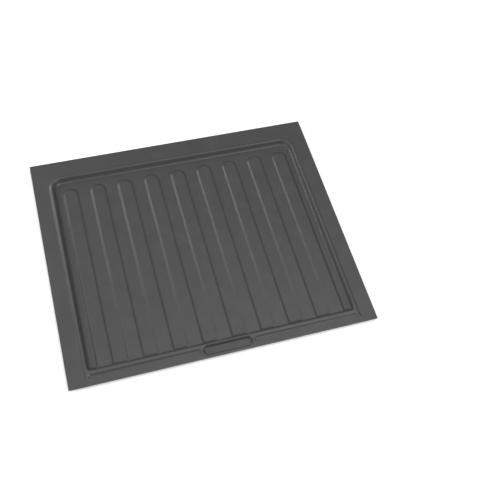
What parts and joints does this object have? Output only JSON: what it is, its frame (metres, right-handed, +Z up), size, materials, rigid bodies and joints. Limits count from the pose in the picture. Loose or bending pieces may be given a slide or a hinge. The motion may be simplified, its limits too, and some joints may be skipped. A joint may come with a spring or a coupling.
{
  "type": "ribbed cover panel",
  "caption": "Thin formed plastic cover panel with a flat rim, a raised bead round a shallow ribbed tray, and a finger notch in its front ridge.",
  "frame": {"origin": "centre of the bounding box in plan, on the plane of the tray's underside", "axes": "+X to the right, +Y to the back, away from the finger notch, +Z up"},
  "size_m": [0.564, 0.478, 0.0113],
  "materials": {
    "anthracite_plastic": "satin, fine even grain"
  },
  "bodies": {
    "root": {"cover_panel": "anthracite_plastic"}
  },
  "joints": []
}
